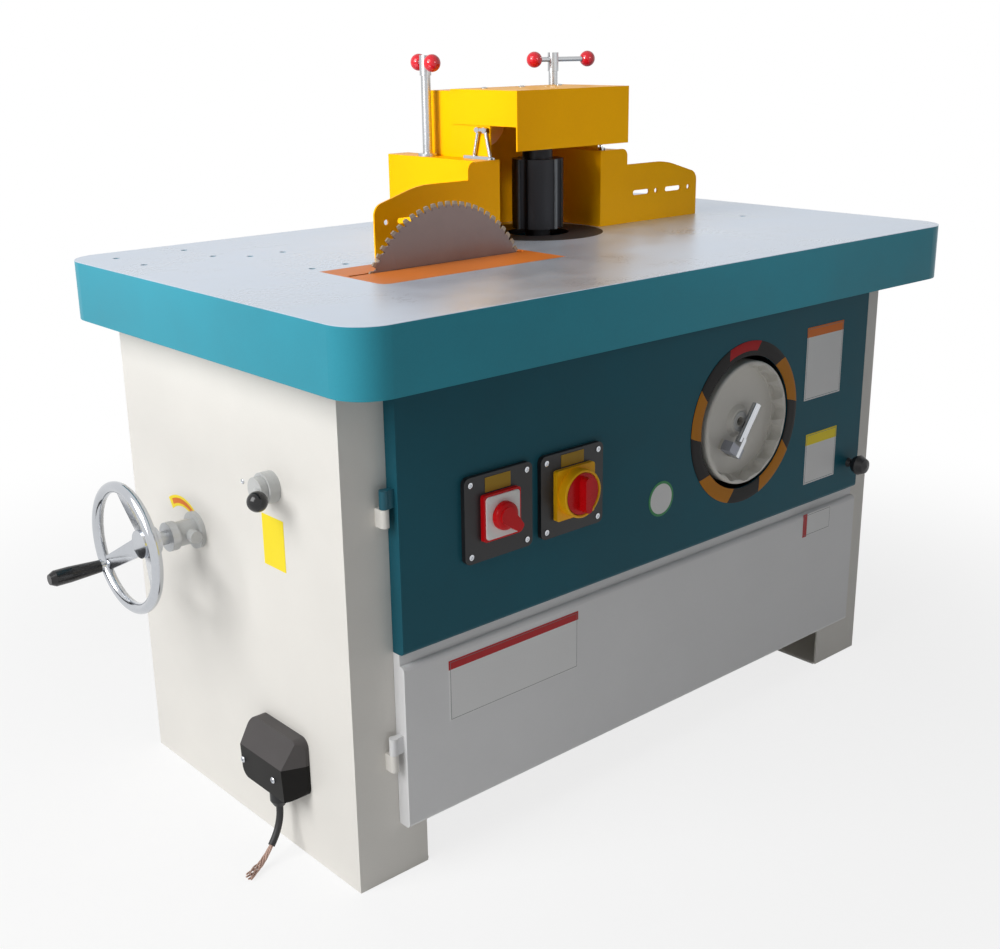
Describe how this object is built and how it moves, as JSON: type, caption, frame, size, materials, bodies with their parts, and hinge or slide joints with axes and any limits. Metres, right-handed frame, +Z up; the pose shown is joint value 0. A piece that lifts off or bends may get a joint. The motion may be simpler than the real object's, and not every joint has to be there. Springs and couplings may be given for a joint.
{
  "type": "spindle moulder",
  "caption": "Floor-standing spindle moulder with a rising cutter spindle, a rising saw blade, a hooded sliding fence and a hinged cabinet door.",
  "frame": {"origin": "on the floor, under the middle of the whole machine", "axes": "+X along the table to the right, +Y from the front to the back, +Z up"},
  "size_m": [1.351, 0.724, 1.055],
  "materials": {
    "table_iron": "teal enamel on the skirt, top ground bright",
    "cabinet_white": "off-white powder coat, fine orange peel",
    "door_teal": "teal powder coat",
    "fence_yellow": "yellow powder coat, gloss",
    "insert_orange": "pressed fibre board, matt",
    "ring_brown": "dark browned iron",
    "black_plastic": "moulded, fine texture",
    "red_plastic": "moulded, gloss",
    "yellow_plastic": "moulded, gloss",
    "cream_plastic": "moulded, satin",
    "chrome": "polished chrome plate",
    "bright_steel": "turned and ground steel",
    "blade_steel": "ground in rings",
    "dark_steel": "blackened steel",
    "grey_iron": "grey enamel on casting",
    "belt_rubber": "rubber belt",
    "cord_rubber": "rubber sheath"
  },
  "bodies": {
    "frame": {"work_table": "table_iron", "spindle_ring": "ring_brown", "saw_insert": "insert_orange", "cabinet_left": "cabinet_white", "cabinet_right": "cabinet_white", "cabinet_back": "cabinet_white", "cabinet_front": "cabinet_white", "cabinet_floor": "cabinet_white", "hinge_brackets": "cabinet_white", "wheel_bracket": "grey_iron", "spindle_guide": "grey_iron", "saw_guide": "grey_iron", "side_bosses": "grey_iron", "inlet_housing": "black_plastic", "cable_gland": "black_plastic", "supply_cord": "cord_rubber"},
    "door": {"door_upper": "door_teal", "door_lower": "cabinet_white", "door_pull": "black_plastic", "hinge_leaves": "cabinet_white", "switch_plates": "black_plastic", "selector_base": "red_plastic", "isolator_base": "yellow_plastic"},
    "selector": {"selector_knob": "red_plastic"},
    "isolator": {"isolator_knob": "red_plastic"},
    "handwheel": {"front_wheel": "cream_plastic", "front_shaft": "bright_steel"},
    "folding_handle": {"front_handle": "chrome"},
    "spindle_screw": {"lift_screw": "bright_steel"},
    "spindle_carriage": {"spindle_slide": "grey_iron", "spindle_quill": "bright_steel", "spindle_bearings": "bright_steel", "spindle_motor": "grey_iron", "drive_belt": "belt_rubber"},
    "spindle": {"spindle_shaft": "bright_steel", "spindle_pulley": "bright_steel", "spindle_collars": "dark_steel", "cutter_block": "dark_steel", "cutter_knives": "bright_steel"},
    "motor_rotor": {"motor_pulley": "bright_steel"},
    "saw_lift": {"saw_carriage": "grey_iron", "saw_motor": "grey_iron", "saw_belt": "belt_rubber"},
    "saw": {"saw_arbor": "bright_steel", "saw_blade": "blade_steel"},
    "saw_rotor": {"saw_motor_drum": "bright_steel"},
    "saw_lift_screw": {"saw_screw": "bright_steel"},
    "side_handwheel": {"side_wheel": "chrome", "side_shaft": "bright_steel"},
    "revolving_grip": {"side_grip": "black_plastic"},
    "lever": {"lock_lever": "black_plastic"},
    "fence": {"left_wing": "fence_yellow", "right_wing": "fence_yellow", "fence_hood": "fence_yellow", "hood_latches": "chrome"},
    "visor_cover": {"visor": "fence_yellow"},
    "clamp_left": {"left_clamp": "chrome", "left_clamp_balls": "red_plastic"},
    "clamp_right": {"right_clamp": "chrome", "right_clamp_balls": "red_plastic"}
  },
  "joints": [
    {"name": "door_swing", "type": "hinge", "parent": "frame", "child": "door", "pos_m": [-0.4285, -0.2735, 0.4], "axis": [0, 0, -1], "range_deg": [0, 105]},
    {"name": "selector_turn", "type": "hinge", "parent": "door", "child": "selector", "pos_m": [-0.2565, -0.3, 0.487], "axis": [0, 1, 0], "range_deg": [0, 120]},
    {"name": "isolator_turn", "type": "hinge", "parent": "door", "child": "isolator", "pos_m": [-0.1225, -0.3, 0.487], "axis": [0, 1, 0], "range_deg": [0, 90]},
    {"name": "front_wheel_turn", "type": "hinge", "parent": "frame", "child": "handwheel", "pos_m": [0.2585, -0.27, 0.507], "axis": [0, 1, 0], "range_deg": [-2881, 721]},
    {"name": "front_handle_fold", "type": "hinge", "parent": "handwheel", "child": "folding_handle", "pos_m": [0.23843, -0.2845, 0.46395], "axis": [0.8192, 0, -0.5736], "range_deg": [0, 90]},
    {"name": "lift_screw_turn", "type": "hinge", "parent": "frame", "child": "spindle_screw", "pos_m": [0.2585, 0.03, 0.6], "axis": [0, 0, 1], "range_deg": [-2881, 721]},
    {"name": "spindle_lift", "type": "slide", "parent": "frame", "child": "spindle_carriage", "axis": [0, 0, 1], "range_m": [-0.08, 0.02]},
    {"name": "spindle_spin", "type": "hinge", "parent": "spindle_carriage", "child": "spindle", "pos_m": [0.1465, 0.063, 0.7], "axis": [0, 0, 1], "continuous": true},
    {"name": "motor_spin", "type": "hinge", "parent": "spindle_carriage", "child": "motor_rotor", "pos_m": [0.4165, 0.063, 0.42], "axis": [0, 0, 1], "continuous": true},
    {"name": "side_wheel_turn", "type": "hinge", "parent": "frame", "child": "side_handwheel", "pos_m": [-0.5445, 0.103, 0.417], "axis": [1, 0, 0], "range_deg": [-3241, 361]},
    {"name": "side_grip_spin", "type": "hinge", "parent": "side_handwheel", "child": "revolving_grip", "pos_m": [-0.6245, 0.17593, 0.37143], "axis": [1, 0, 0], "continuous": true},
    {"name": "saw_screw_turn", "type": "hinge", "parent": "frame", "child": "saw_lift_screw", "pos_m": [-0.2695, 0.103, 0.6], "axis": [0, 0, 1], "range_deg": [-3241, 361]},
    {"name": "saw_rise", "type": "slide", "parent": "frame", "child": "saw_lift", "axis": [0, 0, 1], "range_m": [-0.09, 0.01]},
    {"name": "saw_spin", "type": "hinge", "parent": "saw_lift", "child": "saw", "pos_m": [-0.1545, 0, 0.713], "axis": [0, 1, 0], "continuous": true},
    {"name": "saw_motor_spin", "type": "hinge", "parent": "saw_lift", "child": "saw_rotor", "pos_m": [-0.1545, 0.09, 0.45], "axis": [0, 1, 0], "continuous": true},
    {"name": "lock_lever_turn", "type": "hinge", "parent": "frame", "child": "lever", "pos_m": [-0.4995, -0.109, 0.533], "axis": [1, 0, 0], "range_deg": [-40, 40]},
    {"name": "fence_slide", "type": "slide", "parent": "frame", "child": "fence", "axis": [0, 1, 0], "range_m": [-0.03, 0.03]},
    {"name": "visor_slide", "type": "slide", "parent": "fence", "child": "visor_cover", "axis": [0, 1, 0], "range_m": [-0.04, 0.02]},
    {"name": "left_clamp_turn", "type": "hinge", "parent": "fence", "child": "clamp_left", "pos_m": [0.0095, 0.17, 0.9], "axis": [0, 0, 1], "range_deg": [-180, 180]},
    {"name": "right_clamp_turn", "type": "hinge", "parent": "fence", "child": "clamp_right", "pos_m": [0.2835, 0.17, 0.9], "axis": [0, 0, 1], "range_deg": [-180, 180]}
  ],
  "couplings": [
    {"joint": "lift_screw_turn", "follows": "spindle_lift", "rad_per_m": 628.32},
    {"joint": "front_wheel_turn", "follows": "spindle_lift", "rad_per_m": 628.32},
    {"joint": "motor_spin", "follows": "spindle_spin", "ratio": 0.7},
    {"joint": "saw_screw_turn", "follows": "saw_rise", "rad_per_m": 628.32},
    {"joint": "side_wheel_turn", "follows": "saw_rise", "rad_per_m": 628.32},
    {"joint": "saw_motor_spin", "follows": "saw_spin", "ratio": 0.66667}
  ]
}
